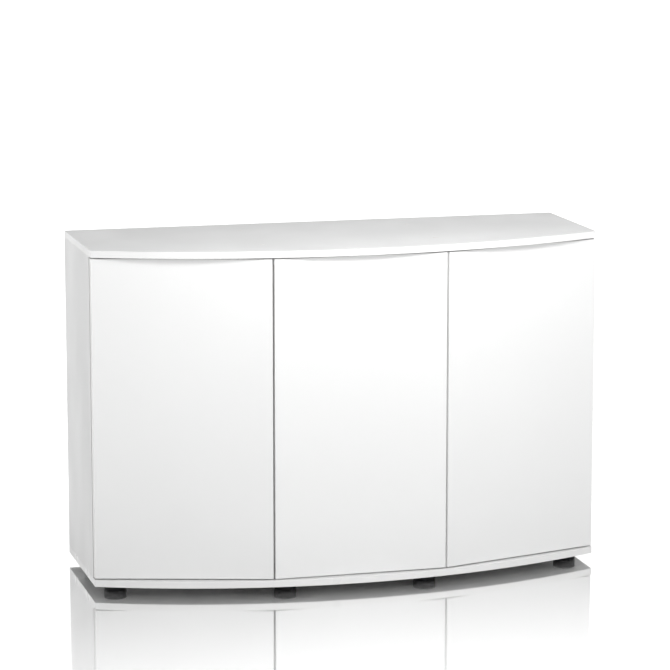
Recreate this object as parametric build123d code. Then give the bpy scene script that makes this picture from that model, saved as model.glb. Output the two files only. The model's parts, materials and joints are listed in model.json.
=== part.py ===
from build123d import *
from dataclasses import dataclass
from math import asin, cos, degrees, radians, sin, sqrt, tan
import os

# Aquarium stand cabinet with a bowed front and three flat doors.
# Millimetres. Origin at the middle of the footprint, on the floor. +X to the right, -Y to the front, +Z up.

# ---- overall size -------------------------------------------------------------------------------
WIDTH = 1210.0
DEPTH = 460.0
HEIGHT = 800.0
BOW = 126.0                      # how far the curved front stands out past the straight sides
FOOT_HEIGHT = 19.0
BOARD = 16.0                     # coated chipboard, used for every panel
EDGE_BAND = 1.0

HALF = WIDTH / 2
BACK_Y = DEPTH / 2
BOW_RADIUS = (HALF**2 + BOW**2) / (2 * BOW)
BOW_CENTRE_Y = -DEPTH / 2 + BOW_RADIUS
BOW_HALF_ANGLE = asin(HALF / BOW_RADIUS)

BOTTOM_TOP = FOOT_HEIGHT + BOARD       # upper face of the bottom panel
TOP_UNDERSIDE = HEIGHT - BOARD
INNER_SIDE_X = HALF - BOARD

# ---- doors --------------------------------------------------------------------------------------
DOOR_INSET = 2.0                 # doors stand this far inside the curved edge at their corners
DOOR_GAP = 5.0                   # between two doors, at their front faces
DOOR_END_X = HALF - 1.0          # outer ends of the two outer doors
DOOR_BOTTOM = BOTTOM_TOP + 3.0
DOOR_TOP = TOP_UNDERSIDE - 3.0
PUSH_GAP = 4.0                   # free space behind a closed door, so it can be pushed to release it

# ---- hinges, measured in a door's own frame: u from the hinge edge, w from the front face --------
CUP_RADIUS = 17.5
CUP_EDGE = 3.0                   # board left between the cup and the door's edge
CUP_DEPTH = 12.5
CUP_WALL = 0.8
CUP_U = CUP_EDGE + CUP_RADIUS
CUP_FLOOR_W = BOARD - CUP_DEPTH
CUP_FLANGE = 1.2
FLANGE_U = (12.0, 37.0)
FLANGE_HALF_HEIGHT = 29.0
CUP_SCREW_U = CUP_U + 9.5
CUP_SCREW_Z = 22.5
PIVOT_U = 7.5
PIVOT_W = 6.5
PIN_RADIUS = 1.5
PIN_CLEARANCE = 0.05
PIN_HALF_LENGTH = 9.4
LUG_INNER_Z = 7.0
KNUCKLE_RADIUS = 2.2
KNUCKLE_HALF_LENGTH = 6.5
ARM_U = 24.0                     # centre of the arm where it leaves the cup
ARM_SHEET = 2.0
ARM_HALF_WIDTH = 6.0
ARM_LENGTH = 78.0                # from the cup floor back along the panel
ARM_BODY_START = 30.0
ARM_BODY_HEIGHT = 7.0
PLATE_START = 32.0
PLATE_LENGTH = 40.0
PLATE_HALF_HEIGHT = 24.0
PLATE_FLANGE = 2.5
PLATE_SCREW_Z = 16.0
HINGE_END = 100.0                # from a door's end to the middle of its hinge
HINGE_Z = (DOOR_BOTTOM + HINGE_END, DOOR_TOP - HINGE_END)

# ---- carcass ------------------------------------------------------------------------------------
DOOR_RADIUS = BOW_RADIUS - DOOR_INSET
THIRD_ANGLE = BOW_HALF_ANGLE / 3          # the doors span equal thirds of the bow
JOINT_X = DOOR_RADIUS * sin(THIRD_ANGLE)
JOINT_Y = BOW_CENTRE_Y - DOOR_RADIUS * cos(THIRD_ANGLE)
DOOR_TILT = 2 * THIRD_ANGLE               # turn of the outer doors against the middle one
DOOR_END_Y = JOINT_Y + (DOOR_END_X - JOINT_X) * tan(DOOR_TILT)
SIDE_FRONT_Y = DOOR_END_Y + BOARD / cos(DOOR_TILT) + PUSH_GAP
PARTITION_X = JOINT_X
PARTITION_FRONT_Y = JOINT_Y + BOARD / 2 * tan(DOOR_TILT) + BOARD / cos(DOOR_TILT) + PUSH_GAP
BACK_FRONT_Y = BACK_Y - BOARD             # inner face of the back panels
UPPER_RAIL_HEIGHT = 120.0
LOWER_RAIL_HEIGHT = 80.0
CABLE_HOLE_RADIUS = 30.0
CABLE_HOLE_Z = (TOP_UNDERSIDE - 70.0, BOTTOM_TOP + 70.0)
CABLE_HOLE_FROM_PARTITION = 70.0
GROMMET_WALL = 1.6
GROMMET_LIP = 4.0
GROMMET_LIP_THICKNESS = 1.8

SHELF_Z = 398.0                  # underside of the shelves
SHELF_SIDE_GAP = 1.0
SHELF_SETBACK = 30.0             # from a door's inner face to the shelf's front edge
SHELF_PIN_RADIUS = 2.5
SHELF_PIN_REACH = 8.0
SHELF_PIN_COLLAR_RADIUS = 4.0
SHELF_PIN_COLLAR = 0.8           # thin enough to stand in the gap beside the shelf
SHELF_PIN_INSET = 55.0           # from the shelf's corners
SHELF_HOLE_STEP = 32.0
SHELF_HOLE_DEPTH = 7.0

# ---- push latches -------------------------------------------------------------------------------
LATCH_WIDTH = 14.0
LATCH_HEIGHT = 16.0
LATCH_LENGTH = 68.0
LATCH_Z = {"left": 742.0, "middle": 700.0, "right": 742.0}
LATCH_NOSE = 4.0                 # how far the plunger stands out of its housing
LATCH_LUG = 10.0
LATCH_LUG_THICKNESS = 4.0
PLUNGER_RADIUS = 4.0
PLUNGER_BORE_GAP = 0.35
PLUNGER_DEPTH = 30.0             # length of the plunger inside its housing
PLUNGER_TRAVEL = 2.5
PLUNGER_FREE_GAP = 0.4
STRIKE_RADIUS = 7.5
STRIKE_THICKNESS = 1.4

# ---- feet and fasteners -------------------------------------------------------------------------
FOOT_RADIUS = 26.0
FOOT_BASE_RADIUS = 24.5
FOOT_RIM = 3.0
FOOT_BORE_RADIUS = 2.5
FOOT_POCKET_RADIUS = 9.0
FOOT_POCKET_DEPTH = 9.0
FOOT_OUTER_X = 550.0
FOOT_INNER_X = 168.5
FOOT_SETBACK = 60.0              # from the curved edge to the centres of the front feet
FOOT_REAR_SETBACK = 45.0
CAP_RADIUS = 6.5
CAP_DEPTH = 1.5
TOP_SCREW_Y = (-109.0, 119.0)
CAM_RADIUS = 7.5
CAM_DEPTH = 12.5
CAM_FROM_END = 24.0
CAM_FROM_FRONT = 60.0
CAM_FROM_BACK = 70.0
CAM_BOLT_END = 22.0
CAM_BOLT_RADIUS = 3.0
CAM_BOLT_EMBED = 11.0
DOWEL_RADIUS = 4.0
DOWEL_EMBED = 11.0
DOWEL_LENGTH = 35.0
DOWEL_FROM_CAM = 32.0
BACK_DOWEL_REACH = 12.0          # into the back panel or rail
BACK_DOWEL_ROOT = 7.0            # into the upright


@dataclass
class Door:
    """One door: its front corner at the hinge edge, how far it is turned, and what stands beside it."""

    name: str
    corner: tuple
    turn: float                  # degrees about +Z
    hinge_side: str
    width: float                 # along the front face
    end_skew: float              # how far the hinge edge leans outward over the board's thickness
    panel_x: float               # face of the upright that carries the hinges
    latch_wall: float            # face of the upright that carries the latch
    latch_out: int               # direction in x from that face into the compartment

    def place(self, shape):
        """Puts a shape drawn for a left-hinged door, in u, w and height, onto this door."""
        if self.hinge_side == "right":
            shape = mirror(shape, about=Plane.YZ)
        return Pos(*self.corner, 0) * Rot(0, 0, self.turn) * shape

    def point(self, u, w):
        """Cabinet coordinates of a point given in the door's own frame."""
        angle = radians(self.turn)
        x = self.corner[0] + self.inward * u * cos(angle) - w * sin(angle)
        y = self.corner[1] + self.inward * u * sin(angle) + w * cos(angle)
        return x, y

    def back_y(self, x):
        """Where the door's inner face is, at a given x."""
        angle = radians(self.turn)
        return self.corner[1] + (x - self.corner[0]) * tan(angle) + BOARD / cos(angle)

    @property
    def inward(self):
        """Direction in x from the hinge edge to the free edge."""
        return 1 if self.hinge_side == "left" else -1

    @property
    def latch_x(self):
        return self.latch_wall + self.latch_out * LATCH_WIDTH / 2

    @property
    def arm_start(self):
        """Where the hinge arms turn back along the upright."""
        return self.point(ARM_U, PIVOT_W)


def make_doors():
    tilt = degrees(DOOR_TILT)
    half_gap = DOOR_GAP / 2
    outer_width = (DOOR_END_X - JOINT_X) / cos(DOOR_TILT) - half_gap
    middle_width = 2 * JOINT_X - DOOR_GAP
    skew = BOARD * tan(DOOR_TILT)
    outer_face = PARTITION_X + BOARD / 2
    inner_face = PARTITION_X - BOARD / 2
    left = Door("left", (-DOOR_END_X, DOOR_END_Y), -tilt, "left", outer_width, skew,
                -INNER_SIDE_X, -outer_face, -1)
    middle = Door("middle", (JOINT_X - half_gap, JOINT_Y), 0.0, "right", middle_width, 0.0,
                  inner_face, -inner_face, 1)
    right = Door("right", (DOOR_END_X, DOOR_END_Y), tilt, "right", outer_width, skew,
                 INNER_SIDE_X, outer_face, 1)
    return [left, middle, right]


DOORS = make_doors()


# ---- small helpers ------------------------------------------------------------------------------
def block(x, y, z):
    """A box given by two values along each axis."""
    size = (abs(x[1] - x[0]), abs(y[1] - y[0]), abs(z[1] - z[0]))
    middle = ((x[0] + x[1]) / 2, (y[0] + y[1]) / 2, (z[0] + z[1]) / 2)
    return Pos(*middle) * Box(*size)


def rod(start, end, radius):
    """A cylinder between two points."""
    line = Vector(*end) - Vector(*start)
    return extrude(Plane(origin=start, z_dir=line) * Circle(radius), line.length)


def prism(points, low, high):
    """A straight prism over a plan outline."""
    face = make_face(Polyline(*points, close=True))
    return Pos(0, 0, low) * extrude(face, high - low, dir=(0, 0, 1))


def turned(outline):
    """A solid of revolution about Z from points given as radius and height."""
    return revolve(make_face(Plane.XZ * Polyline(*outline, close=True)), Axis.Z, 360)


def wood_screw(head, tip, radius, head_radius):
    """A countersunk screw; head is the middle of its flat face, tip its far end."""
    line = Vector(*tip) - Vector(*head)
    rim = 0.4
    neck = rim + head_radius - radius
    outline = [(0, 0), (head_radius, 0), (head_radius, rim), (radius, neck),
               (radius, line.length - 2 * radius), (0, line.length)]
    recess = Pos(0, 0, rim) * (Box(0.5 * head_radius, 2, 2 * rim) + Box(2, 0.5 * head_radius, 2 * rim))
    return Plane(origin=head, z_dir=line) * (turned(outline) - recess)


def screw_hole(head, tip, radius, head_radius):
    """The hole that a countersunk screw fills."""
    line = Vector(*tip) - Vector(*head)
    neck = head_radius - radius + 0.4
    outline = [(0, 0), (head_radius, 0), (head_radius, 0.4), (radius, neck),
               (radius, line.length - 2 * radius), (0, line.length)]
    return Plane(origin=head, z_dir=line) * turned(outline)


def group(shapes):
    return Compound(children=list(shapes))


def cut(shape, *tools):
    """Takes every solid of the tools that reaches the shape out of it."""
    box = shape.bounding_box()
    for tool in tools:
        for solid in tool.solids():
            if box.overlaps(solid.bounding_box()):
                shape = shape - solid
    return shape


# ---- joints between the boards ------------------------------------------------------------------
def uprights():
    """Middle of each upright, its front edge, and the direction of the face its cams are let into."""
    side_x = HALF - BOARD / 2
    yield "left_side_panel", -side_x, SIDE_FRONT_Y, 1
    yield "left_partition", -PARTITION_X, PARTITION_FRONT_Y, 1
    yield "right_partition", PARTITION_X, PARTITION_FRONT_Y, -1
    yield "right_side_panel", side_x, SIDE_FRONT_Y, -1


def cam_places():
    """Each joint between an upright and the top or bottom panel: x, y, z, way into it, cam face."""
    for _, x, front, face in uprights():
        for y in (front + CAM_FROM_FRONT, BACK_Y - CAM_FROM_BACK):
            yield x, y, BOTTOM_TOP, 1, face
            yield x, y, TOP_UNDERSIDE, -1, face


def cam_drums():
    drums = []
    for x, y, z, into, face in cam_places():
        surface = x + face * BOARD / 2
        height = z + into * CAM_FROM_END
        drums.append(rod((surface, y, height), (surface - face * CAM_DEPTH, y, height), CAM_RADIUS))
    return group(drums)


def cam_bolts():
    return group(
        rod((x, y, z - into * CAM_BOLT_EMBED), (x, y, z + into * CAM_BOLT_END), CAM_BOLT_RADIUS)
        for x, y, z, into, _ in cam_places()
    )


def cam_locks():
    """Drums with a slot for the screwdriver, each holding the end of its bolt."""
    bolts = cam_bolts()
    locks = []
    for drum in cam_drums().solids():
        middle = drum.center()
        slot = Pos(middle.X, middle.Y, middle.Z) * Box(CAM_DEPTH + 2, CAM_RADIUS, 1.6)
        floor = Pos(middle.X, middle.Y, middle.Z) * Box(CAM_DEPTH - 3, 3 * CAM_RADIUS, 3)
        locks.append(cut(drum, slot - floor, bolts))
    return group(locks)


def upright_dowels():
    return group(
        rod((x, y + DOWEL_FROM_CAM, z - into * DOWEL_EMBED),
            (x, y + DOWEL_FROM_CAM, z + into * (DOWEL_LENGTH - DOWEL_EMBED)), DOWEL_RADIUS)
        for x, y, z, into, _ in cam_places()
    )


def back_dowels():
    """Dowels that hold the back panels and rails to the uprights."""
    outer = PARTITION_X + BOARD / 2
    inner = PARTITION_X - BOARD / 2
    rows = (
        (INNER_SIDE_X, -1, (150.0, 400.0, 650.0)),
        (outer, 1, (75.0, 320.0, 560.0, 730.0)),
        (inner, -1, (60.0, 90.0, 690.0, 760.0)),
    )
    dowels = []
    for face, away, heights in rows:
        root = face - away * BACK_DOWEL_ROOT
        tip = face + away * BACK_DOWEL_REACH
        y = BACK_Y - BOARD / 2
        for sign in (-1, 1):
            dowels += [rod((sign * root, y, z), (sign * tip, y, z), DOWEL_RADIUS) for z in heights]
    return group(dowels)


def top_places():
    return [(sign * PARTITION_X, y) for sign in (-1, 1) for y in TOP_SCREW_Y]


def top_screws(make=wood_screw):
    head = HEIGHT - CAP_DEPTH
    return group(make((x, y, head), (x, y, head - 50.0), 2.5, 4.8) for x, y in top_places())


def cover_caps():
    return group(rod((x, y, HEIGHT), (x, y, HEIGHT - CAP_DEPTH), CAP_RADIUS) for x, y in top_places())


# ---- feet ---------------------------------------------------------------------------------------
def foot_places():
    """Front feet follow the bow, rear feet stand in a straight row."""
    places = []
    radius = BOW_RADIUS - FOOT_SETBACK
    for x in (-FOOT_OUTER_X, -FOOT_INNER_X, FOOT_INNER_X, FOOT_OUTER_X):
        places.append((x, BOW_CENTRE_Y - sqrt(radius**2 - x**2)))
        places.append((x, BACK_Y - FOOT_REAR_SETBACK))
    return places


def foot():
    """Moulded glide with a pocket underneath for the head of its screw."""
    return turned([
        (FOOT_BORE_RADIUS, FOOT_HEIGHT), (FOOT_RADIUS, FOOT_HEIGHT), (FOOT_RADIUS, FOOT_RIM),
        (FOOT_BASE_RADIUS, 0), (FOOT_POCKET_RADIUS, 0), (FOOT_POCKET_RADIUS, FOOT_POCKET_DEPTH),
        (FOOT_BORE_RADIUS, FOOT_POCKET_DEPTH),
    ])


def foot_screw():
    head_radius = 4.5
    head_low = FOOT_POCKET_DEPTH - 3.0
    tip = FOOT_HEIGHT + BOARD - 3.0
    head = rod((0, 0, head_low), (0, 0, FOOT_POCKET_DEPTH), head_radius)
    shank = rod((0, 0, FOOT_POCKET_DEPTH), (0, 0, tip), FOOT_BORE_RADIUS)
    recess = Pos(0, 0, head_low) * (Box(5.2, 1.2, 2.8) + Box(1.2, 5.2, 2.8))
    return head + shank - recess


def at_feet(shape):
    return group(Pos(x, y, 0) * shape for x, y in foot_places())


# ---- boards -------------------------------------------------------------------------------------
def bow_board(low, inset=EDGE_BAND):
    """Top or bottom panel: straight back and sides, circular front."""
    half = HALF - inset
    radius = BOW_RADIUS - inset
    side_y = BOW_CENTRE_Y - sqrt(radius**2 - half**2)
    front = ThreePointArc((-half, side_y), (0, BOW_CENTRE_Y - radius), (half, side_y))
    rest = Polyline((half, side_y), (half, BACK_Y), (-half, BACK_Y), (-half, side_y))
    face = make_face(front.edges() + rest.edges())
    return Pos(0, 0, low) * extrude(face, BOARD, dir=(0, 0, 1))


def edge_band(low):
    """The glued plastic edge round the front and sides of a bowed board."""
    return bow_board(low, inset=0) - bow_board(low)


def bay(side):
    """Left and right limits of one of the two outer compartments."""
    inner = PARTITION_X + BOARD / 2
    return (-INNER_SIDE_X, -inner) if side < 0 else (inner, INNER_SIDE_X)


def cable_hole_places(side):
    x = side * (PARTITION_X + BOARD / 2 + CABLE_HOLE_FROM_PARTITION)
    return [(x, z) for z in CABLE_HOLE_Z]


def back_panel(side):
    holes = [
        rod((x, BACK_FRONT_Y - 1, z), (x, BACK_Y + 1, z), CABLE_HOLE_RADIUS)
        for x, z in cable_hole_places(side)
    ]
    return cut(block(bay(side), (BACK_FRONT_Y, BACK_Y), (BOTTOM_TOP, TOP_UNDERSIDE)), group(holes))


def grommet(x, z):
    """Plastic ring that lines a cable hole, with a lip inside the cabinet."""
    lip_y = BACK_FRONT_Y - GROMMET_LIP_THICKNESS
    sleeve = rod((x, BACK_FRONT_Y, z), (x, BACK_Y, z), CABLE_HOLE_RADIUS)
    lip = rod((x, lip_y, z), (x, BACK_FRONT_Y, z), CABLE_HOLE_RADIUS + GROMMET_LIP)
    return sleeve + lip - rod((x, lip_y - 1, z), (x, BACK_Y + 1, z), CABLE_HOLE_RADIUS - GROMMET_WALL)


def back_rail(low, high):
    inner = PARTITION_X - BOARD / 2
    return block((-inner, inner), (BACK_FRONT_Y, BACK_Y), (low, high))


def shelf_front(side, x):
    """Front edge of a shelf, parallel to the inner face of its door."""
    door = DOORS[0] if side < 0 else DOORS[2]
    return door.back_y(x) + SHELF_SETBACK


def shelf(side):
    low, high = bay(side)
    low += SHELF_SIDE_GAP
    high -= SHELF_SIDE_GAP
    back = BACK_FRONT_Y - 2 * SHELF_SIDE_GAP
    outline = [(low, shelf_front(side, low)), (high, shelf_front(side, high)), (high, back), (low, back)]
    return prism(outline, SHELF_Z, SHELF_Z + BOARD)


def shelf_pin_places(side):
    """Wall, y and direction into the wall for the four pins under a shelf."""
    low, high = bay(side)
    places = []
    for wall, into in ((low, -1), (high, 1)):
        for y in (shelf_front(side, wall) + SHELF_PIN_INSET, BACK_FRONT_Y - SHELF_PIN_INSET):
            places.append((wall, y, into))
    return places


def shelf_pin(wall, y, into):
    """A stem in the upright with a collar against its face, carrying the shelf."""
    z = SHELF_Z - SHELF_PIN_RADIUS
    root = wall + into * SHELF_HOLE_DEPTH
    stem = rod((root, y, z), (wall - into * SHELF_PIN_REACH, y, z), SHELF_PIN_RADIUS)
    return stem + rod((wall, y, z), (wall - into * SHELF_PIN_COLLAR, y, z), SHELF_PIN_COLLAR_RADIUS)


def shelf_holes():
    """Spare holes above and below the pins, so that the shelves can be moved."""
    holes = []
    for side in (-1, 1):
        for wall, y, into in shelf_pin_places(side):
            root = wall + into * SHELF_HOLE_DEPTH
            for step in (-3, -2, -1, 1, 2, 3):
                z = SHELF_Z - SHELF_PIN_RADIUS + step * SHELF_HOLE_STEP
                holes.append(rod((wall - into, y, z), (root, y, z), SHELF_PIN_RADIUS))
    return group(holes)


# ---- doors and their hinges ---------------------------------------------------------------------
def door_board(door):
    outline = [(0, 0), (door.width, 0), (door.width, BOARD), (-door.end_skew, BOARD)]
    return door.place(prism(outline, DOOR_BOTTOM, DOOR_TOP))


def on_hinges(door, make):
    """One piece, or a list of pieces, for each hinge of a door, drawn in the door's own frame."""
    return group(door.place(make(z)) for z in HINGE_Z)


def cup_pocket(z):
    return rod((CUP_U, CUP_FLOOR_W, z), (CUP_U, BOARD, z), CUP_RADIUS)


def hinge_pin(z):
    return rod((PIVOT_U, PIVOT_W, z - PIN_HALF_LENGTH), (PIVOT_U, PIVOT_W, z + PIN_HALF_LENGTH), PIN_RADIUS)


def hinge_cup(z):
    """Round cup let into the door, with a screwed flange and two lugs that hold the pin."""
    barrel = cup_pocket(z)
    flange = block(FLANGE_U, (BOARD, BOARD + CUP_FLANGE), (z - FLANGE_HALF_HEIGHT, z + FLANGE_HALF_HEIGHT))
    rim = rod((CUP_U, BOARD, z), (CUP_U, BOARD + CUP_FLANGE, z), CUP_RADIUS)
    room = rod((CUP_U, CUP_FLOOR_W + CUP_WALL, z), (CUP_U, BOARD + 2, z), CUP_RADIUS - CUP_WALL)
    cup = barrel + flange + rim - room
    for sign in (-1, 1):
        ends = (z + sign * LUG_INNER_Z, z + sign * CUP_RADIUS)
        lug = block((CUP_EDGE, PIVOT_U + 3.0), (CUP_FLOOR_W, PIVOT_W + 2.6), ends)
        cup += lug & barrel
    for screw in cup_screw_lines(z):
        cup -= screw_hole(*screw)
    return cup - hinge_pin(z)


def cup_screw_lines(z):
    head = BOARD + CUP_FLANGE
    return [
        ((CUP_SCREW_U, head, z + dz), (CUP_SCREW_U, head - 12.0, z + dz), 1.75, 3.4)
        for dz in (-CUP_SCREW_Z, CUP_SCREW_Z)
    ]


def cup_screws(z):
    return group(wood_screw(*line) for line in cup_screw_lines(z))


def cup_screw_holes(z):
    return group(screw_hole(*line) for line in cup_screw_lines(z))


def arm_outline(door):
    """Plan of the pressed arm: along the cup floor, then back beside the upright."""
    x, y = door.arm_start
    half = ARM_SHEET / 2
    near = x - door.inward * half
    far = x + door.inward * half
    return [
        door.point(PIVOT_U, PIVOT_W - half), (far, door.point(ARM_U, PIVOT_W - half)[1]),
        (far, y + ARM_LENGTH), (near, y + ARM_LENGTH), (near, door.point(ARM_U, PIVOT_W + half)[1]),
        door.point(PIVOT_U, PIVOT_W + half),
    ]


def hinge_arm(door, z):
    """Arm fixed to the upright; its knuckle turns on the pin inside the cup."""
    low = z - ARM_HALF_WIDTH
    high = z + ARM_HALF_WIDTH
    x, y = door.arm_start
    near = x - door.inward * ARM_SHEET / 2
    far = x + door.inward * (ARM_SHEET / 2 + ARM_BODY_HEIGHT)
    body = block((near, far), (y + ARM_BODY_START, y + ARM_LENGTH), (low - 1.5, high + 1.5))
    pivot = door.point(PIVOT_U, PIVOT_W)
    ends = (z - KNUCKLE_HALF_LENGTH, z + KNUCKLE_HALF_LENGTH)
    knuckle = rod((*pivot, ends[0]), (*pivot, ends[1]), KNUCKLE_RADIUS)
    bore = rod((*pivot, ends[0] - 1), (*pivot, ends[1] + 1), PIN_RADIUS + PIN_CLEARANCE)
    return prism(arm_outline(door), low, high) + body + knuckle - bore


def hinge_plate(door, z):
    """Mounting plate between the upright and the arm."""
    x, y = door.arm_start
    start = y + PLATE_START
    arm_face = x - door.inward * ARM_SHEET / 2
    flange_face = door.panel_x + door.inward * PLATE_FLANGE
    narrow = (z - ARM_HALF_WIDTH, z + ARM_HALF_WIDTH)
    wide = (z - PLATE_HALF_HEIGHT, z + PLATE_HALF_HEIGHT)
    raised = block((door.panel_x, arm_face), (start, start + PLATE_LENGTH), narrow)
    return raised + block((door.panel_x, flange_face), (start + 8.0, start + 24.0), wide)


def plate_screws(make=wood_screw):
    screws = []
    for door in DOORS:
        y = door.arm_start[1] + PLATE_START + 16.0
        head = door.panel_x + door.inward * PLATE_FLANGE
        for z in HINGE_Z:
            for dz in (-PLATE_SCREW_Z, PLATE_SCREW_Z):
                tip = (head - door.inward * 13.0, y, z + dz)
                screws.append(make((head, y, z + dz), tip, 1.75, 3.4))
    return group(screws)


def arm_screws(make=wood_screw):
    """Screws that clamp the arms onto their plates."""
    screws = []
    for door in DOORS:
        x, y = door.arm_start
        y += PLATE_START + 28.0
        head = x + door.inward * (ARM_SHEET / 2 + ARM_BODY_HEIGHT)
        tip = head - door.inward * 14.0
        screws += [make((head, y, z), (tip, y, z), 2.0, 3.6) for z in HINGE_Z]
    return group(screws)


# ---- push latches -------------------------------------------------------------------------------
def plunger_front(door):
    """The tip stands just clear of the strike plate when the door is closed."""
    lean = radians(abs(door.turn))
    strike_face = door.back_y(door.latch_x) + STRIKE_THICKNESS / cos(lean)
    return strike_face + PLUNGER_RADIUS * tan(lean) + PLUNGER_FREE_GAP


def latch_plunger(door):
    x, z = door.latch_x, LATCH_Z[door.name]
    front = plunger_front(door)
    return rod((x, front, z), (x, front + LATCH_NOSE + PLUNGER_DEPTH, z), PLUNGER_RADIUS)


def latch_screws(make=wood_screw, doors=DOORS):
    screws = []
    for door in doors:
        front = plunger_front(door) + LATCH_NOSE
        head_x = door.latch_wall + door.latch_out * LATCH_LUG_THICKNESS
        tip_x = head_x - door.latch_out * 11.0
        z = LATCH_Z[door.name]
        rear = (front + LATCH_LENGTH + LATCH_LUG / 2, z)
        places = (rear, (front + LATCH_LUG, z + (LATCH_HEIGHT + LATCH_LUG) / 2))
        screws += [make((head_x, y, height), (tip_x, y, height), 1.75, 3.2) for y, height in places]
    return group(screws)


def latch_housing(door):
    """Moulded case with a round bore for the plunger and two screwed lugs."""
    x, z = door.latch_x, LATCH_Z[door.name]
    front = plunger_front(door) + LATCH_NOSE
    back = front + LATCH_LENGTH
    wall = door.latch_wall
    top = z + LATCH_HEIGHT / 2
    case = block((wall, wall + door.latch_out * LATCH_WIDTH), (front, back), (z - LATCH_HEIGHT / 2, top))
    lug_x = (wall, wall + door.latch_out * LATCH_LUG_THICKNESS)
    rear_lug = block(lug_x, (back, back + LATCH_LUG), (z - LATCH_LUG / 2, z + LATCH_LUG / 2))
    upper_lug = block(lug_x, (front + LATCH_LUG / 2, front + 1.5 * LATCH_LUG), (top, top + LATCH_LUG))
    depth = PLUNGER_DEPTH + PLUNGER_TRAVEL + 1.0
    bore = rod((x, front - 1, z), (x, front + depth, z), PLUNGER_RADIUS + PLUNGER_BORE_GAP)
    return cut(case + rear_lug + upper_lug, bore, latch_screws(screw_hole, [door]))


def strike_line(door, reach):
    """From the face of the strike plate straight into the door, by the given reach."""
    angle = radians(door.turn)
    x = door.latch_x
    y = door.back_y(x)
    across = (-sin(angle), cos(angle))
    face = (x + across[0] * STRIKE_THICKNESS, y + across[1] * STRIKE_THICKNESS, LATCH_Z[door.name])
    return face, (face[0] - across[0] * reach, face[1] - across[1] * reach, face[2])


def strike_screw(door, make=wood_screw):
    return make(*strike_line(door, 10.0), 1.5, 3.0)


def strike_plate(door):
    return rod(*strike_line(door, STRIKE_THICKNESS), STRIKE_RADIUS) - strike_screw(door, screw_hole)


# ---- the whole cabinet --------------------------------------------------------------------------
def carcass_parts():
    pins = group(shelf_pin(*place) for side in (-1, 1) for place in shelf_pin_places(side))
    dowels = upright_dowels()
    rear_dowels = back_dowels()
    bolts = cam_bolts()
    caps = cover_caps()
    screw_shanks = at_feet(foot_screw())
    upright_tools = (cam_drums(), bolts, dowels, rear_dowels, top_screws(screw_hole), pins, shelf_holes(),
                     plate_screws(screw_hole), latch_screws(screw_hole))
    parts = {
        "top_panel": cut(bow_board(TOP_UNDERSIDE), caps, top_screws(screw_hole), bolts, dowels),
        "top_edge_band": edge_band(TOP_UNDERSIDE),
        "bottom_panel": cut(bow_board(FOOT_HEIGHT), bolts, dowels, screw_shanks),
        "bottom_edge_band": edge_band(FOOT_HEIGHT),
    }
    for name, x, front, _ in uprights():
        board = block((x - BOARD / 2, x + BOARD / 2), (front, BACK_Y), (BOTTOM_TOP, TOP_UNDERSIDE))
        parts[name] = cut(board, *upright_tools)
    for name, side in (("left", -1), ("right", 1)):
        parts[name + "_back_panel"] = cut(back_panel(side), rear_dowels)
        parts[name + "_shelf"] = shelf(side)
    parts["upper_back_rail"] = cut(back_rail(TOP_UNDERSIDE - UPPER_RAIL_HEIGHT, TOP_UNDERSIDE), rear_dowels)
    parts["lower_back_rail"] = cut(back_rail(BOTTOM_TOP, BOTTOM_TOP + LOWER_RAIL_HEIGHT), rear_dowels)
    parts["cable_grommets"] = group(grommet(x, z) for side in (-1, 1) for x, z in cable_hole_places(side))
    parts["shelf_pins"] = pins
    parts["feet"] = at_feet(foot())
    parts["foot_screws"] = screw_shanks
    parts["cam_locks"] = cam_locks()
    parts["cam_bolts"] = bolts
    parts["upright_dowels"] = dowels
    parts["back_dowels"] = rear_dowels
    parts["top_screws"] = top_screws()
    parts["cover_caps"] = caps
    parts["hinge_plate_screws"] = plate_screws()
    parts["hinge_arm_screws"] = arm_screws()
    parts["latch_screws"] = latch_screws()
    return parts


def door_parts(door):
    """Everything that belongs to one door, on the door itself and on the upright beside it."""
    board = cut(door_board(door), on_hinges(door, cup_pocket), on_hinges(door, cup_screw_holes),
                strike_screw(door, screw_hole))
    clamps = arm_screws(screw_hole)
    fixings = plate_screws(screw_hole)
    return {
        "door": board,
        "hinge_cups": on_hinges(door, hinge_cup),
        "hinge_pins": on_hinges(door, hinge_pin),
        "hinge_cup_screws": on_hinges(door, cup_screws),
        "hinge_arms": group(cut(hinge_arm(door, z), clamps) for z in HINGE_Z),
        "hinge_plates": group(cut(hinge_plate(door, z), clamps, fixings) for z in HINGE_Z),
        "latch_housing": latch_housing(door),
        "latch_plunger": latch_plunger(door),
        "strike_plate": strike_plate(door),
        "strike_screw": strike_screw(door),
    }


def main():
    os.makedirs("parts", exist_ok=True)
    parts = carcass_parts()
    for door in DOORS:
        parts.update({f"{door.name}_{name}": shape for name, shape in door_parts(door).items()})
    for name, shape in parts.items():
        export_step(shape, f"parts/{name}.step")


if __name__ == "__main__":
    main()
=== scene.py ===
import json
import math

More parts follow.
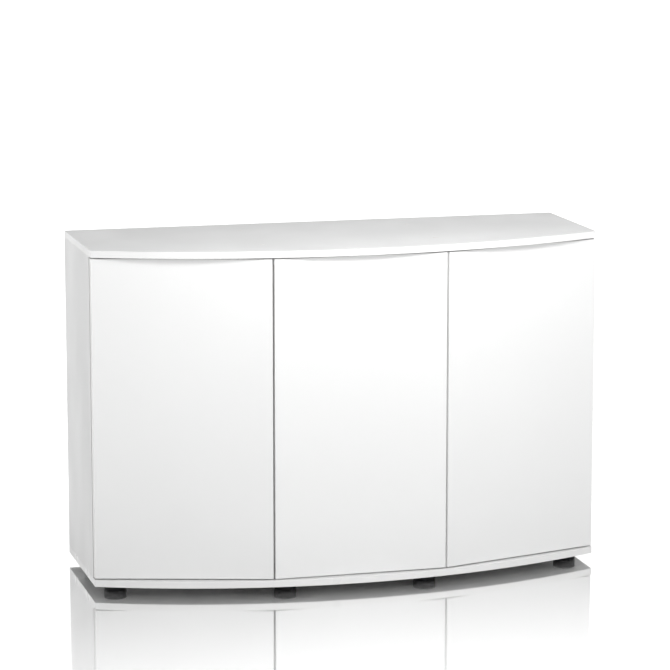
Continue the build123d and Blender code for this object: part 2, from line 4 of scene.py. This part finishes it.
import bmesh
import bpy
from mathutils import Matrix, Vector

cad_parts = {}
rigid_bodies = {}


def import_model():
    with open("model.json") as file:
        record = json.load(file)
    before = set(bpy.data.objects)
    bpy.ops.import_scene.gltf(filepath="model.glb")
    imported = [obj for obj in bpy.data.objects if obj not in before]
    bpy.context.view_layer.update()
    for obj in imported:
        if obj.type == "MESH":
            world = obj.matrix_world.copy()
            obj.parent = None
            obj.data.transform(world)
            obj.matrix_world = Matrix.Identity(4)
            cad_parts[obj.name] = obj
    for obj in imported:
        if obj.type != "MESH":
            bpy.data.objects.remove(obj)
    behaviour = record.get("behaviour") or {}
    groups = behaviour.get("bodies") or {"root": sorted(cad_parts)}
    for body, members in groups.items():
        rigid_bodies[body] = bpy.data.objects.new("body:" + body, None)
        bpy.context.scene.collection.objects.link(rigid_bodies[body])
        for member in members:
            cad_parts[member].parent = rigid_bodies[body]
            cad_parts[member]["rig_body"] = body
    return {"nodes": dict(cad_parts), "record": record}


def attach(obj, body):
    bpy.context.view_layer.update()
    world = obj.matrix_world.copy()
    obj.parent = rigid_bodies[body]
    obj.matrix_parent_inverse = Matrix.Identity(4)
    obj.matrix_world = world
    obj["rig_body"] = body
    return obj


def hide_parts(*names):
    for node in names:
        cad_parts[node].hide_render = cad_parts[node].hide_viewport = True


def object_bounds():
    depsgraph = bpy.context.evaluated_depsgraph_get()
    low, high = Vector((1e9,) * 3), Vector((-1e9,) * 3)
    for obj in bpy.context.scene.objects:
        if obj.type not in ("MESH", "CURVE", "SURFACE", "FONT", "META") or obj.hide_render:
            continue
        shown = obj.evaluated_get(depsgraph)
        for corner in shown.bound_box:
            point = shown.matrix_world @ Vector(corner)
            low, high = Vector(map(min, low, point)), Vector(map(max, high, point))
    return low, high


# Looks of a white aquarium cabinet with a bowed front, in metres, in the frame of its CAD model.
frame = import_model()
cad_low, cad_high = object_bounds()

MM = 0.001
WELD = 0.002 * MM
SLOT_OF = {part["node"]: part["material_slot"] for part in frame["record"]["subparts"]}
BODY_OF = {node: shape["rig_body"] for node, shape in frame["nodes"].items()}

# ---- driving sizes -------------------------------------------------------------------------------
BOARD_ROUNDING = 0.6 * MM          # rounding of a banded board's outer edges
CORE_ROUNDING = 0.15 * MM          # where a board meets its glued edge band
BAND_ROUNDING = 0.45 * MM
BORE_FACET = 5.0 * MM              # narrower wall facets belong to a drilled hole
ROUNDING_STEPS = 3
METAL_ROUNDING = 0.25 * MM
PLASTIC_ROUNDING = 0.4 * MM
COATING_LEVEL = 0.1 * MM           # a board's coated faces lie within this of its outside
FLAT_ANGLE = math.radians(0.3)     # faces bent less than this are merged into one
SMOOTH_ANGLE = math.radians(38.0)  # sharper edges than this are shaded sharp
SHARP_EDGE = math.radians(40.0)    # sharper edges than this are rounded
PLACES = ("left", "middle", "right")


# ---- materials -----------------------------------------------------------------------------------
class Nodes:
    """A short way to build one material's node tree."""

    def __init__(self, name):
        self.material = bpy.data.materials.new(name)
        self.material.use_nodes = True
        self.tree = self.material.node_tree
        self.shader = self.tree.nodes["Principled BSDF"]
        self.place = self.add("ShaderNodeTexCoord").outputs["Object"]

    def add(self, kind, **settings):
        node = self.tree.nodes.new(kind)
        for key, value in settings.items():
            setattr(node, key, value)
        return node

    def join(self, source, target):
        self.tree.links.new(source, target)

    def stretched(self, stretch):
        """The object's own coordinates, scaled along each axis."""
        mapping = self.add("ShaderNodeMapping")
        mapping.inputs["Scale"].default_value = stretch
        self.join(self.place, mapping.inputs["Vector"])
        return mapping.outputs["Vector"]

    def noise(self, scale, detail=2.0, roughness=0.5, stretch=(1.0, 1.0, 1.0)):
        """Noise about 0.5, its scale counted in grains per metre."""
        node = self.add("ShaderNodeTexNoise")
        node.inputs["Scale"].default_value = scale
        node.inputs["Detail"].default_value = detail
        node.inputs["Roughness"].default_value = roughness
        self.join(self.stretched(stretch), node.inputs["Vector"])
        return node.outputs["Fac"]

    def cells(self, scale, output, stretch=(1.0, 1.0, 1.0)):
        node = self.add("ShaderNodeTexVoronoi")
        node.inputs["Scale"].default_value = scale
        self.join(self.stretched(stretch), node.inputs["Vector"])
        return node.outputs[output]

    def remap(self, value, low, high, start=0.35, end=0.65):
        node = self.add("ShaderNodeMapRange")
        node.inputs["From Min"].default_value = start
        node.inputs["From Max"].default_value = end
        node.inputs["To Min"].default_value = low
        node.inputs["To Max"].default_value = high
        self.join(value, node.inputs["Value"])
        return node.outputs["Result"]

    def blend(self, amount, first, second):
        node = self.add("ShaderNodeMix", data_type="RGBA")
        self.join(amount, node.inputs["Factor"])
        for socket, colour in ((node.inputs[6], first), (node.inputs[7], second)):
            if isinstance(colour, tuple):
                socket.default_value = (*colour, 1.0)
            else:
                self.join(colour, socket)
        return node.outputs[2]

    def bump(self, height, strength, depth, below=None):
        node = self.add("ShaderNodeBump")
        node.inputs["Strength"].default_value = strength
        node.inputs["Distance"].default_value = depth
        self.join(height, node.inputs["Height"])
        if below is not None:
            self.join(below, node.inputs["Normal"])
        return node.outputs["Normal"]

    def finish(self, colour=None, roughness=None, normal=None, **constants):
        for name, value in (("Base Color", colour), ("Roughness", roughness), ("Normal", normal)):
            if value is not None:
                self.join(value, self.shader.inputs[name])
        for name, value in constants.items():
            self.shader.inputs[name.replace("_", " ")].default_value = value
        return self.material


def shaded(colour, share):
    """A colour made darker or lighter, within white."""
    return tuple(min(1.0, channel * share) for channel in colour)


def coated_board(name, colour, gloss, pearl, coat=0.0):
    """White coated chipboard: fine pearl grain, faintly uneven tone, wiped smears in the gloss."""
    n = Nodes(name)
    tone = n.remap(n.noise(2.3, 3.0), 0.0, 1.0)
    mottled = n.blend(tone, shaded(colour, 0.985), colour)
    specks = n.remap(n.noise(520.0, 1.0), 0.0, 1.0, 0.70, 0.78)
    speckled = n.blend(specks, mottled, shaded(colour, 0.95))
    smears = n.noise(9.0, 4.0, 0.6, (1.0, 1.0, 0.35))
    shine = n.remap(smears, gloss - 0.05, gloss + 0.06)
    grain = n.bump(n.noise(1300.0, 2.0), pearl, 0.05 * MM)
    wave = n.bump(n.noise(16.0, 1.0), 0.04, 0.5 * MM, grain)
    return n.finish(speckled, shine, wave, Coat_Weight=coat, Coat_Roughness=0.15, IOR=1.5)


def chipboard(name):
    """Raw pressed wood chips, seen in bores and pockets."""
    n = Nodes(name)
    chips = n.remap(n.cells(420.0, "Distance", (1.0, 1.0, 0.55)), 0.0, 1.0, 0.1, 0.8)
    fibres = n.remap(n.noise(900.0, 4.0, 0.7), 0.0, 1.0)
    pale = n.blend(fibres, (0.56, 0.41, 0.25), (0.70, 0.55, 0.37))
    tint = n.blend(chips, pale, (0.34, 0.22, 0.12))
    return n.finish(tint, n.remap(fibres, 0.75, 0.95, 0.0, 1.0), n.bump(chips, 0.6, 0.25 * MM))


def moulded_plastic(name, colour, gloss, grain, sheen=0.5):
    """Injection-moulded plastic with a fine eroded grain and a lighter bloom on it."""
    n = Nodes(name)
    bloom = n.remap(n.noise(60.0, 3.0), 0.0, 1.0)
    lighter = tuple(min(1.0, channel * 1.2 + 0.002) for channel in colour)
    dusty = n.blend(bloom, colour, lighter)
    shine = n.remap(n.noise(180.0, 2.0), gloss - 0.06, gloss + 0.08)
    skin = n.bump(n.noise(2600.0, 2.0), grain, 0.06 * MM)
    return n.finish(dusty, shine, skin, Specular_IOR_Level=sheen)


def plated_steel(name, colour, gloss, drawn=(1.0, 1.0, 12.0)):
    """Plated steel with fine drawing lines and cloudy patches in the plating."""
    n = Nodes(name)
    cloud = n.remap(n.noise(140.0, 3.0), 0.0, 1.0)
    tint = n.blend(cloud, shaded(colour, 0.86), colour)
    lines = n.noise(1500.0, 2.0, 0.6, drawn)
    shine = n.remap(lines, gloss - 0.05, gloss + 0.1)
    return n.finish(tint, shine, n.bump(lines, 0.12, 0.04 * MM), Metallic=1.0)


def beech(name):
    """Dowel wood: long grain with short dark flecks."""
    n = Nodes(name)
    grain = n.remap(n.noise(240.0, 4.0, 0.6, (0.15, 1.0, 1.0)), 0.0, 1.0)
    tint = n.blend(grain, (0.55, 0.36, 0.20), (0.74, 0.56, 0.37))
    skin = n.bump(n.noise(900.0, 2.0, 0.5, (0.2, 1.0, 1.0)), 0.3, 0.1 * MM)
    return n.finish(tint, n.remap(grain, 0.5, 0.7, 0.0, 1.0), skin)


BOARD_WHITE = (0.820, 0.823, 0.820)
BAND_WHITE = (0.828, 0.829, 0.824)
MATERIALS = {
    "white_board": coated_board("pearl_board", BOARD_WHITE, 0.42, 0.16),
    "door_front": coated_board("smooth_front", BOARD_WHITE, 0.33, 0.06, 0.12),
    "edge_band": coated_board("edge_strip", BAND_WHITE, 0.32, 0.05),
    "foot_plastic": moulded_plastic("black_glide", (0.006, 0.006, 0.007), 0.45, 0.3, 0.2),
    "cap_plastic": moulded_plastic("white_cap", (0.76, 0.76, 0.75), 0.40, 0.1),
    "grommet_plastic": moulded_plastic("white_grommet", (0.76, 0.76, 0.75), 0.38, 0.15),
    "latch_plastic": moulded_plastic("grey_latch", (0.40, 0.41, 0.42), 0.42, 0.2),
    "plunger_plastic": moulded_plastic("pale_plunger", (0.62, 0.62, 0.60), 0.36, 0.1),
    "beech": beech("beech_dowel"),
    "cast_zinc": plated_steel("die_cast_zinc", (0.58, 0.58, 0.59), 0.42, (1.0, 1.0, 1.0)),
    "pin_steel": plated_steel("nickel_pin", (0.70, 0.69, 0.67), 0.22),
    "screw_steel": plated_steel("zinc_screw", (0.64, 0.65, 0.66), 0.30),
    "hinge_steel": plated_steel("nickel_hinge", (0.72, 0.70, 0.67), 0.24),
}
CHIPBOARD = chipboard("raw_chipboard")


# ---- mesh helpers --------------------------------------------------------------------------------
def cad_mesh(node):
    """A welded copy of a CAD node's mesh, its flat areas merged into single faces."""
    mesh = bmesh.new()
    mesh.from_mesh(frame["nodes"][node].data)
    bmesh.ops.remove_doubles(mesh, verts=mesh.verts, dist=WELD)
    bmesh.ops.dissolve_limit(mesh, angle_limit=FLAT_ANGLE, verts=mesh.verts, edges=mesh.edges)
    bmesh.ops.recalc_face_normals(mesh, faces=mesh.faces)
    return mesh


def show(name, mesh, materials, node):
    """Turns a bmesh into a piece that stands for a CAD node and moves with its body."""
    data = bpy.data.meshes.new(name)
    mesh.to_mesh(data)
    mesh.free()
    for material in materials:
        data.materials.append(material)
    data.polygons.foreach_set("use_smooth", [True] * len(data.polygons))
    data.set_sharp_from_angle(angle=SMOOTH_ANGLE)
    piece = bpy.data.objects.new(name, data)
    bpy.context.scene.collection.objects.link(piece)
    weights = piece.modifiers.new("even_shading", "WEIGHTED_NORMAL")
    weights.keep_sharp = True
    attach(piece, BODY_OF[node])
    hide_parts(node)
    return piece


# ---- boards --------------------------------------------------------------------------------------
def board_direction(mesh):
    """The direction of a board's thickness: the normal of its largest face."""
    return max(mesh.faces, key=lambda face: face.calc_area()).normal.copy()


def facet_width(face, thickness):
    """How wide a wall facet is, measured across the board's thickness."""
    across = thickness.cross(face.normal).normalized()
    reach = [vertex.co.dot(across) for vertex in face.verts]
    return max(reach) - min(reach)


FACE, EDGE, BORE = range(3)


def sort_faces(mesh, thickness):
    """Marks each face of a board as coated face, edge or bore."""
    levels = [vertex.co.dot(thickness) for vertex in mesh.verts]
    low, high = min(levels), max(levels)
    for face in mesh.faces:
        if abs(face.normal.dot(thickness)) > 0.99:
            level = face.verts[0].co.dot(thickness)
            outside = min(abs(level - low), abs(level - high)) < COATING_LEVEL
            face.material_index = FACE if outside else BORE
        else:
            face.material_index = EDGE if facet_width(face, thickness) > BORE_FACET else BORE


def outer_edges(mesh):
    """The long sharp edges of a board: its outline, without the rims of its bores."""
    return [
        edge for edge in mesh.edges
        if len(edge.link_faces) == 2
        and edge.calc_length() > BORE_FACET
        and edge.calc_face_angle() > SHARP_EDGE
        and all(face.material_index != BORE for face in edge.link_faces)
    ]


def board(node, name, rounding=BOARD_ROUNDING):
    """A board with rounded edges, banded sides and raw chips in its bores."""
    mesh = cad_mesh(node)
    sort_faces(mesh, board_direction(mesh))
    rounded = bmesh.ops.bevel(
        mesh, geom=outer_edges(mesh), offset=rounding, segments=ROUNDING_STEPS,
        profile=0.5, affect="EDGES", clamp_overlap=False,
    )
    for face in rounded["faces"]:
        face.material_index = EDGE
    faces = MATERIALS[SLOT_OF[node]]
    return show(name, mesh, (faces, MATERIALS["edge_band"], CHIPBOARD), node)


def boards():
    """Every flat board, and the two glued bands of the top and bottom."""
    for level in ("top", "bottom"):
        board(f"{level}_panel", f"{level}_board", CORE_ROUNDING)
        board(f"{level}_edge_band", f"{level}_glued_band", BAND_ROUNDING)
    for side in ("left", "right"):
        for kind in ("side_panel", "partition", "back_panel", "shelf"):
            board(f"{side}_{kind}", f"{side}_{kind}_board")
    for level in ("upper", "lower"):
        board(f"{level}_back_rail", f"{level}_rail_board")
    for place in PLACES:
        board(f"{place}_door", f"{place}_door_board")


# ---- turned pieces -------------------------------------------------------------------------------
UP = Vector((0.0, 0.0, 1.0))
SIDEWAYS = Vector((1.0, 0.0, 0.0))
TURN_STEPS = 96
ROUND_STEPS = 4

# A glide's sizes: those named share count from its outer radius or its height, the others are lengths.
FOOT_FLUTES = 48
FLUTE_DEPTH = 0.25 * MM
BASE_SHARE = 0.943                 # radius of the part that stands on the floor
RIM_SHARE = 0.16                   # height at which the full radius begins
RECESS_SHARE = 0.62                # radius of the shallow recess in the base
RECESS_MOUTH_SHARE = 0.66
RECESS_DEPTH = 0.5 * MM
POCKET_SHARE = 0.35                # radius of the pocket for the screw head
POCKET_TOP_SHARE = 0.47
BORE_SHARE = 0.19                  # radius of the screw's bore
BORE_START_SHARE = 0.5
BASE_ROUNDING = 0.8 * MM
RIM_CHAMFER = (0.3 * MM, 0.4 * MM)
FOOT_ROUNDING = 0.6 * MM
WAIST_DEPTH = 0.5 * MM             # the groove round the top of a glide
WAIST_LEVELS = (3.4 * MM, 3.0 * MM, 2.4 * MM)
FLUTE_SLACK = 0.01 * MM

# A cover cap's sizes.
CAP_GAP = 0.05 * MM
CAP_CHAMFER = 0.3 * MM
CAP_ROUNDING = 0.35 * MM
DISH = ((0.72, 0.02 * MM), (0.35, 0.09 * MM))  # share of the radius, and depth there
PIN_HOLE = 0.02 * MM               # closes the cap's profile round its axis


def solids_of(node):
    """Lowest and highest corner of each separate solid of a CAD node."""
    mesh = bmesh.new()
    mesh.from_mesh(frame["nodes"][node].data)
    bmesh.ops.remove_doubles(mesh, verts=mesh.verts, dist=WELD)
    left, boxes = set(mesh.verts), []
    while left:
        reached = [left.pop()]
        points = []
        while reached:
            vertex = reached.pop()
            points.append(vertex.co.copy())
            for edge in vertex.link_edges:
                other = edge.other_vert(vertex)
                if other in left:
                    left.remove(other)
                    reached.append(other)
        corners = [[pick(p[i] for p in points) for i in range(3)] for pick in (min, max)]
        boxes.append((Vector(corners[0]), Vector(corners[1])))
    mesh.free()
    return sorted(boxes, key=lambda box: tuple(box[0]))


def rounded_corner(radius, height, rounding, turn):
    """Profile points round an outer corner; turn +1 goes from the side on to the top, -1 the reverse."""
    steps = range(ROUND_STEPS + 1)
    angles = [math.pi / 2 * step / ROUND_STEPS for step in (steps if turn > 0 else reversed(steps))]
    lift = rounding if turn > 0 else -rounding
    return [
        (radius - rounding + rounding * math.cos(a), height - lift + lift * math.sin(a)) for a in angles
    ]


def turn_profile(mesh, profile, centre, across, along, ripple=None):
    """Spins a closed profile of (radius, height) points about an axis, into mesh."""
    side = along.cross(across)
    rings = []
    for step in range(TURN_STEPS):
        angle = 2 * math.pi * step / TURN_STEPS
        outward = across * math.cos(angle) + side * math.sin(angle)
        ring = []
        for radius, height in profile:
            cut = ripple(radius, height, angle) if ripple else 0.0
            ring.append(mesh.verts.new(centre + outward * (radius - cut) + along * height))
        rings.append(ring)
    for first, second in zip(rings, rings[1:] + rings[:1]):
        for i in range(len(profile)):
            j = (i + 1) % len(profile)
            mesh.faces.new((first[i], second[i], second[j], first[j]))


def close_middle(profile, hole):
    """Ends a profile on a small hole round the axis, so that it closes on itself."""
    return [(hole, profile[0][1]), *profile, (hole, profile[-1][1])]


def foot_profile(radius, height):
    """Half the cross-section of a glide, from its recess round the outside to the screw's pocket."""
    rim = height * RIM_SHARE
    flutes_end, waist_start, waist_end = (height - level for level in WAIST_LEVELS)
    return [
        (radius * RECESS_SHARE, RECESS_DEPTH),
        (radius * RECESS_MOUTH_SHARE, 0.0),
        *rounded_corner(radius * BASE_SHARE, 0.0, BASE_ROUNDING, -1),
        (radius - RIM_CHAMFER[0], rim - RIM_CHAMFER[1]),
        (radius, rim),
        (radius, flutes_end),
        (radius - WAIST_DEPTH, waist_start),
        (radius - WAIST_DEPTH, waist_end),
        *rounded_corner(radius, height, FOOT_ROUNDING, 1),
        (radius * BORE_SHARE, height),
        (radius * BORE_SHARE, height * BORE_START_SHARE),
        (radius * POCKET_SHARE, height * POCKET_TOP_SHARE),
        (radius * POCKET_SHARE, RECESS_DEPTH),
    ]


def flute_ripple(radius, height):
    """How deep a glide's flutes cut, as a function of place on its side."""
    low = height * RIM_SHARE - FLUTE_SLACK
    high = height - WAIST_LEVELS[0] + FLUTE_SLACK

    def depth(at_radius, at_height, angle):
        if low <= at_height <= high and at_radius > radius * 0.99:
            return FLUTE_DEPTH * (0.5 - 0.5 * math.cos(FOOT_FLUTES * angle))
        return 0.0

    return depth


def cap_profile(radius, height):
    """Half the cross-section of a cover cap, dished a little in the middle."""
    outline = [
        (radius - CAP_CHAMFER, 0.0),
        (radius, CAP_CHAMFER),
        *rounded_corner(radius, height, CAP_ROUNDING, 1),
        *((radius * share, height - depth) for share, depth in DISH),
    ]
    return close_middle(outline, PIN_HOLE)


def box_of(low, high, gap=0.0):
    """Base centre, radius and height of the round solid that fills a box, less a gap all round."""
    centre = Vector(((low.x + high.x) / 2, (low.y + high.y) / 2, low.z))
    return centre, (high.x - low.x) / 2 - gap, high.z - low.z


def feet():
    """Round glides with a rounded rim, a slim waist and a finely fluted side."""
    mesh = bmesh.new()
    for low, high in solids_of("feet"):
        centre, radius, height = box_of(low, high)
        ripple = flute_ripple(radius, height)
        turn_profile(mesh, foot_profile(radius, height), centre, SIDEWAYS, UP, ripple)
    bmesh.ops.recalc_face_normals(mesh, faces=mesh.faces)
    show("glides", mesh, (MATERIALS["foot_plastic"],), "feet")


def caps():
    """Flush cover caps with a rounded rim and a very shallow dish."""
    mesh = bmesh.new()
    for low, high in solids_of("cover_caps"):
        centre, radius, height = box_of(low, high, CAP_GAP)
        turn_profile(mesh, cap_profile(radius, height), centre, SIDEWAYS, UP)
    bmesh.ops.recalc_face_normals(mesh, faces=mesh.faces)
    show("screw_caps", mesh, (MATERIALS["cap_plastic"],), "cover_caps")


# ---- hardware kept from the CAD model -----------------------------------------------------------
SOFTENED = {
    "hinge_arms": METAL_ROUNDING,
    "hinge_plates": METAL_ROUNDING,
    "hinge_cups": METAL_ROUNDING,
    "strike_plate": METAL_ROUNDING,
    "latch_housing": PLASTIC_ROUNDING,
    "latch_plunger": PLASTIC_ROUNDING,
}


def soften(node, rounding):
    """Small rounded edges on a CAD node, by modifiers only."""
    shape = frame["nodes"][node]
    weld = shape.modifiers.new("weld", "WELD")
    weld.merge_threshold = WELD
    flatten = shape.modifiers.new("flatten", "DECIMATE")
    flatten.decimate_type = "DISSOLVE"
    flatten.angle_limit = math.radians(0.5)
    bevel = shape.modifiers.new("rounding", "BEVEL")
    bevel.limit_method = "ANGLE"
    bevel.angle_limit = SHARP_EDGE
    bevel.width = rounding
    bevel.segments = 2
    bevel.harden_normals = False


def soften_hardware():
    """Rounds the edges of the hinges, latches and cable grommets."""
    for place in PLACES:
        for kind, rounding in SOFTENED.items():
            soften(f"{place}_{kind}", rounding)
    soften("cable_grommets", PLASTIC_ROUNDING)


def dress_cad_nodes():
    """Gives every CAD node the detailed material of its slot."""
    for node, shape in frame["nodes"].items():
        shape.data.materials.clear()
        shape.data.materials.append(MATERIALS[SLOT_OF[node]])


# ---- stage: floor, light, camera -----------------------------------------------------------------
WHITE = (1.0, 1.0, 1.0, 1.0)
FLOOR_REACH = 60.0
FLOOR_WHITE = (0.97, 0.97, 0.97, 1.0)
FLOOR_POLISH = 0.9
FLOOR_GLOW = 0.32                  # light that the floor gives off, beyond GLOW_DISTANCE
GLOW_DISTANCE = 0.8
HORIZON = 1.26                     # brightness of the surroundings, level with the floor
ZENITH = 0.14                      # and overhead
DIMMING = (0.2, 0.75)              # heights on a unit sphere between which they grow dimmer

# The camera is tilted down, without lens shift, and placed where the cabinet's corners best meet the photo's.
CAMERA_PLACE = (-1.8154, -6.7091, 1.8087)
CAMERA_TURN = 15.098
CAMERA_PITCH = 10.176
CAMERA_LENS = 161.31


def outside_cabinet(n):
    """How far a point of the floor is outside the cabinet's own rectangle, negative under it."""
    middle = (cad_low + cad_high) / 2.0
    half = (cad_high - cad_low) / 2.0
    split = n.add("ShaderNodeSeparateXYZ")
    n.join(n.place, split.inputs["Vector"])
    farther = n.add("ShaderNodeMath", operation="MAXIMUM")
    for axis in range(2):
        offset = n.add("ShaderNodeMath", operation="SUBTRACT")
        offset.inputs[1].default_value = middle[axis]
        n.join(split.outputs[axis], offset.inputs[0])
        distance = n.add("ShaderNodeMath", operation="ABSOLUTE")
        n.join(offset.outputs["Value"], distance.inputs[0])
        outside = n.add("ShaderNodeMath", operation="SUBTRACT")
        outside.inputs[1].default_value = half[axis]
        n.join(distance.outputs["Value"], outside.inputs[0])
        n.join(outside.outputs["Value"], farther.inputs[axis])
    return farther.outputs["Value"]


def pale_floor():
    """A large polished white floor that mirrors the cabinet, and gives off light away from it."""
    mesh = bmesh.new()
    bmesh.ops.create_grid(mesh, x_segments=1, y_segments=1, size=FLOOR_REACH)
    bmesh.ops.translate(mesh, verts=mesh.verts, vec=(0.0, 0.0, cad_low.z))
    data = bpy.data.meshes.new("floor")
    mesh.to_mesh(data)
    mesh.free()
    n = Nodes("polished_floor")
    haze = n.remap(n.noise(1.2, 2.0), 0.05, 0.08)
    # painted light and painted shade: the floor glows though it is no lamp, with no glow under the cabinet
    # and a ramp up over GLOW_DISTANCE, so the floor is darker round and under the cabinet
    glow = n.remap(outside_cabinet(n), 0.0, FLOOR_GLOW, 0.0, GLOW_DISTANCE)
    n.join(glow, n.shader.inputs["Emission Strength"])
    n.finish(
        roughness=haze, Base_Color=FLOOR_WHITE, IOR=1.6, Metallic=FLOOR_POLISH, Emission_Color=WHITE,
    )
    data.materials.append(n.material)
    floor = bpy.data.objects.new("floor", data)
    bpy.context.scene.collection.objects.link(floor)


def white_studio():
    """White surroundings, brightest round the horizon."""
    world = bpy.data.worlds.new("studio")
    bpy.context.scene.world = world
    world.use_nodes = True
    tree = world.node_tree
    direction = tree.nodes.new("ShaderNodeTexCoord")
    split = tree.nodes.new("ShaderNodeSeparateXYZ")
    tree.links.new(direction.outputs["Generated"], split.inputs["Vector"])
    power = tree.nodes.new("ShaderNodeMapRange")
    power.interpolation_type = "SMOOTHSTEP"
    power.inputs["From Min"].default_value = DIMMING[0]
    power.inputs["From Max"].default_value = DIMMING[1]
    power.inputs["To Min"].default_value = HORIZON
    power.inputs["To Max"].default_value = ZENITH
    tree.links.new(split.outputs["Z"], power.inputs["Value"])
    background = tree.nodes["Background"]
    background.inputs["Color"].default_value = WHITE
    tree.links.new(power.outputs["Result"], background.inputs["Strength"])


def soft_box(name, place, aim, width, height, power, mirrored=True):
    """A rectangular lamp that itself stays out of the picture, and out of mirrors unless mirrored."""
    light = bpy.data.lights.new(name, "AREA")
    light.shape = "RECTANGLE"
    light.size = width
    light.size_y = height
    light.energy = power
    lamp = bpy.data.objects.new(name, light)
    lamp.location = place
    lamp.visible_camera = False
    lamp.visible_glossy = mirrored
    lamp.rotation_mode = "QUATERNION"
    lamp.rotation_quaternion = (Vector(aim) - Vector(place)).to_track_quat("-Z", "Y")
    bpy.context.scene.collection.objects.link(lamp)


def lamps():
    """One lamp close over the doors, one high in front and a faint one at the left side."""
    soft_box(
        "near_front", place=(0.14, -0.86, 1.35), aim=(0.08, -0.2, 0.75),
        width=1.3, height=0.25, power=7.4, mirrored=False,
    )
    soft_box(
        "high_front", place=(0.4, -3.6, 3.8), aim=(0.0, -0.1, 0.6),
        width=3.0, height=2.0, power=47.0,
    )
    soft_box(
        "left_side", place=(-4.0, 0.3, 1.4), aim=(-0.6, 0.05, 0.45),
        width=1.5, height=1.5, power=2.6,
    )


def camera():
    """Long lens, to the left of the front and a little above the top."""
    data = bpy.data.cameras.new("camera")
    data.lens = CAMERA_LENS
    data.clip_end = 200.0
    eye = bpy.data.objects.new("camera", data)
    eye.location = CAMERA_PLACE
    eye.rotation_euler = (math.radians(90.0 - CAMERA_PITCH), 0.0, math.radians(-CAMERA_TURN))
    bpy.context.scene.collection.objects.link(eye)
    bpy.context.scene.camera = eye


dress_cad_nodes()
boards()
feet()
caps()
soften_hardware()
pale_floor()
white_studio()
lamps()
camera()
bpy.context.scene.view_settings.view_transform = "Standard"
